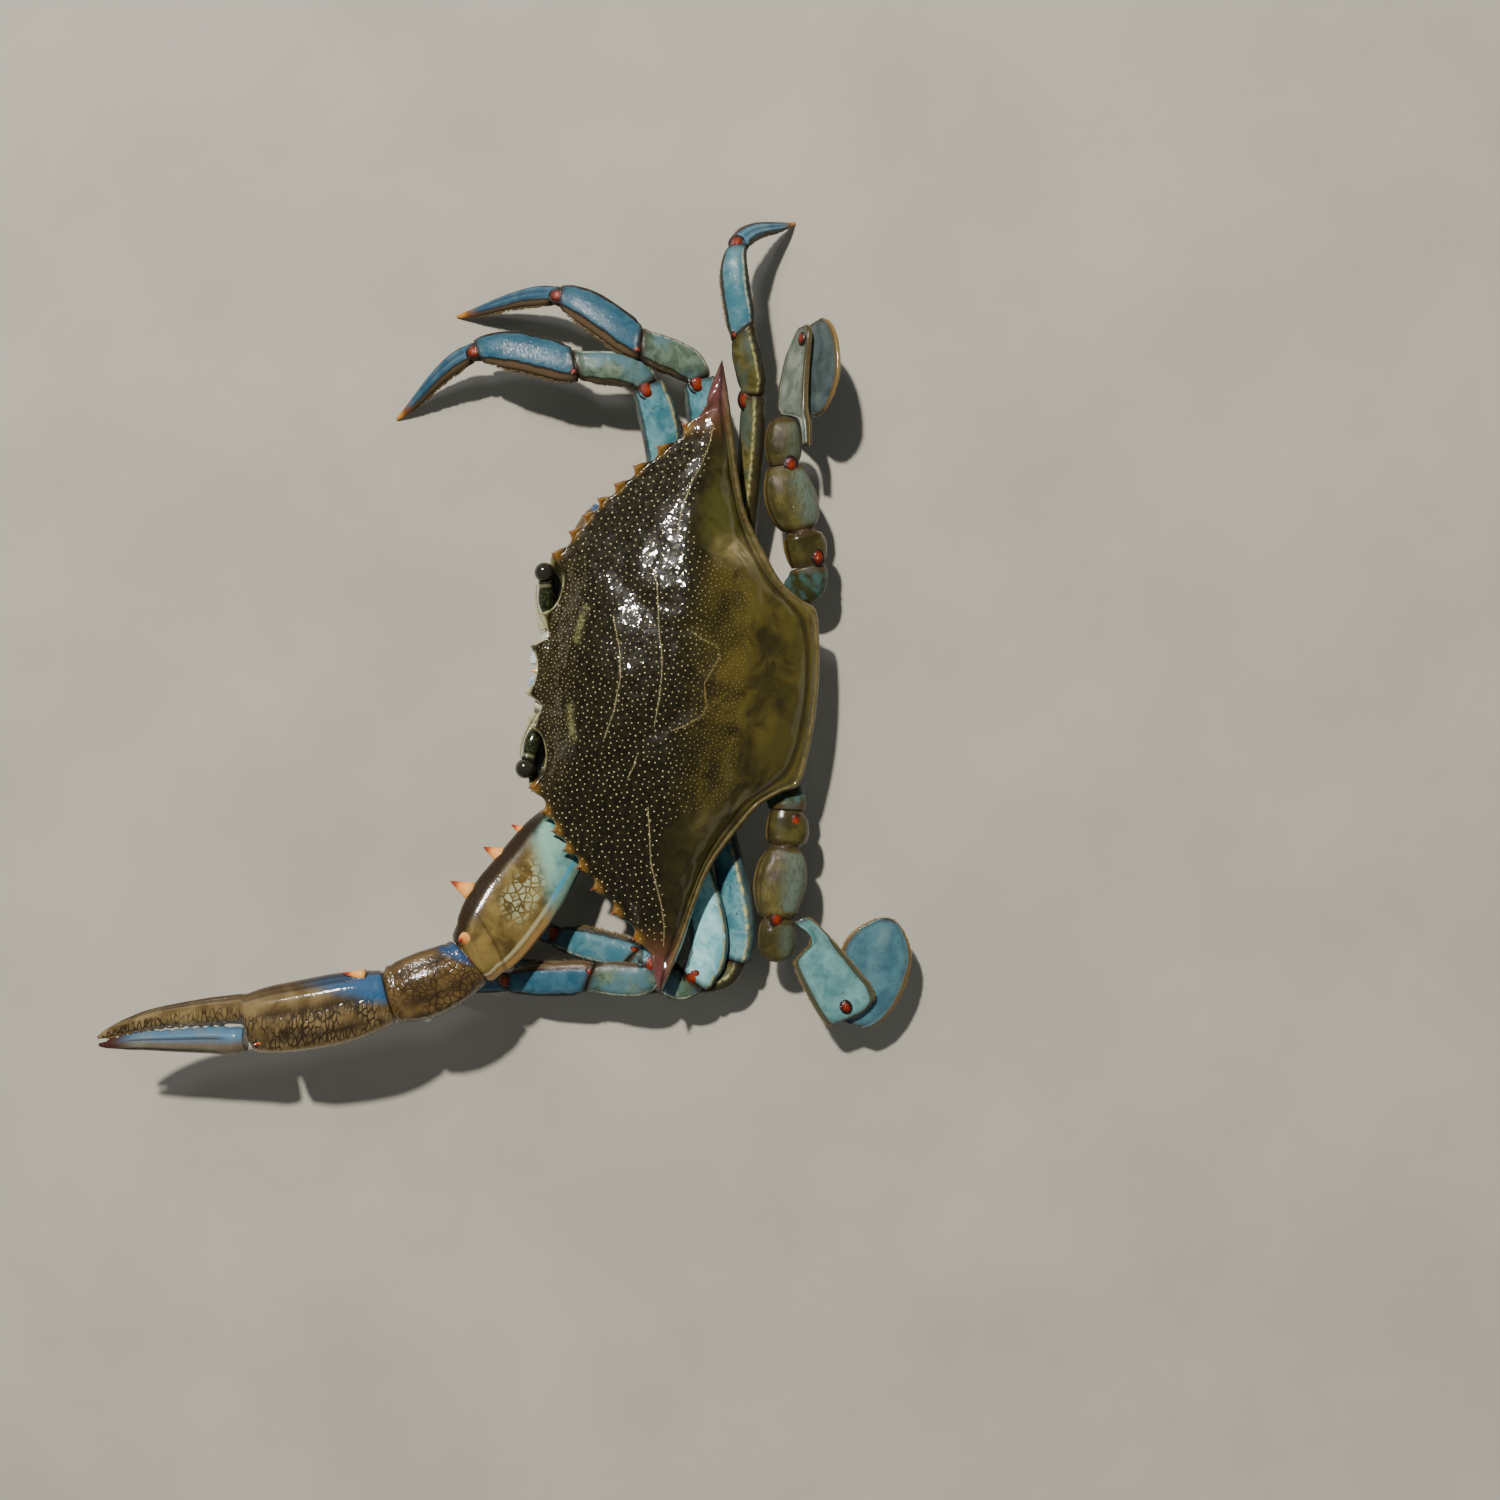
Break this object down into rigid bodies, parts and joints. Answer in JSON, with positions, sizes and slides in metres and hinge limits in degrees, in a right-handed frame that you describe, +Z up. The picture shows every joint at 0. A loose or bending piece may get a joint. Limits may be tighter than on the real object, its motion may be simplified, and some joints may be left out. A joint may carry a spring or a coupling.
{
  "type": "blue crab model",
  "caption": "Life-size still model of an adult male blue crab resting on its belly, one claw arm stretched forward, the other folded under its face, legs bent, paddles folded.",
  "frame": {"origin": "middle of the belly's flat on the floor, under the shell's centre", "axes": "+Z up from the floor, -Y the way the crab faces, +X the crab's left side"},
  "size_m": [0.234, 0.2052, 0.0389],
  "materials": {
    "shell_top": "wet gloss, speckled with pale grains",
    "shell_under": "smooth ivory white",
    "eye": "black-green gloss",
    "eyestalk": "dark gloss",
    "feeler": "pale satin",
    "mouthpart": "pale satin",
    "arm_merus": "olive brown gloss with orange spines",
    "arm_carpus": "brown net pattern, gloss",
    "palm": "golden brown above, white below",
    "finger": "pale blue and tan",
    "leg_merus": "light blue gloss",
    "leg_carpus": "green-blue gloss",
    "leg_propodus": "azure gloss with hair fringe",
    "leg_dactyl": "azure gloss with horny tip",
    "paddle_merus": "olive gloss",
    "paddle_carpus": "olive gloss",
    "paddle_propodus": "teal gloss with brown rim",
    "paddle_dactyl": "blue gloss with brown rim"
  },
  "bodies": {
    "root": {"carapace": "shell_top", "breast_plate": "shell_under", "abdomen": "shell_under", "eye_L": "eye", "eyestalk_L": "eyestalk", "antenna_L": "feeler", "antennule_L": "feeler", "maxilliped_L": "mouthpart", "eye_R": "eye", "eyestalk_R": "eyestalk", "antenna_R": "feeler", "antennule_R": "feeler", "maxilliped_R": "mouthpart", "merus_L1": "arm_merus", "carpus_L1": "arm_carpus", "palm_L1": "palm", "finger_L1": "finger", "merus_R1": "arm_merus", "carpus_R1": "arm_carpus", "palm_R1": "palm", "finger_R1": "finger", "merus_L2": "leg_merus", "carpus_L2": "leg_carpus", "propodus_L2": "leg_propodus", "dactyl_L2": "leg_dactyl", "merus_L3": "leg_merus", "carpus_L3": "leg_carpus", "propodus_L3": "leg_propodus", "dactyl_L3": "leg_dactyl", "merus_L4": "leg_merus", "carpus_L4": "leg_carpus", "propodus_L4": "leg_propodus", "dactyl_L4": "leg_dactyl", "merus_R2": "leg_merus", "carpus_R2": "leg_carpus", "propodus_R2": "leg_propodus", "dactyl_R2": "leg_dactyl", "merus_R3": "leg_merus", "carpus_R3": "leg_carpus", "propodus_R3": "leg_propodus", "dactyl_R3": "leg_dactyl", "merus_R4": "leg_merus", "carpus_R4": "leg_carpus", "propodus_R4": "leg_propodus", "dactyl_R4": "leg_dactyl", "merus_L5": "paddle_merus", "carpus_L5": "paddle_carpus", "propodus_L5": "paddle_propodus", "dactyl_L5": "paddle_dactyl", "merus_R5": "paddle_merus", "carpus_R5": "paddle_carpus", "propodus_R5": "paddle_propodus", "dactyl_R5": "paddle_dactyl"}
  },
  "joints": []
}
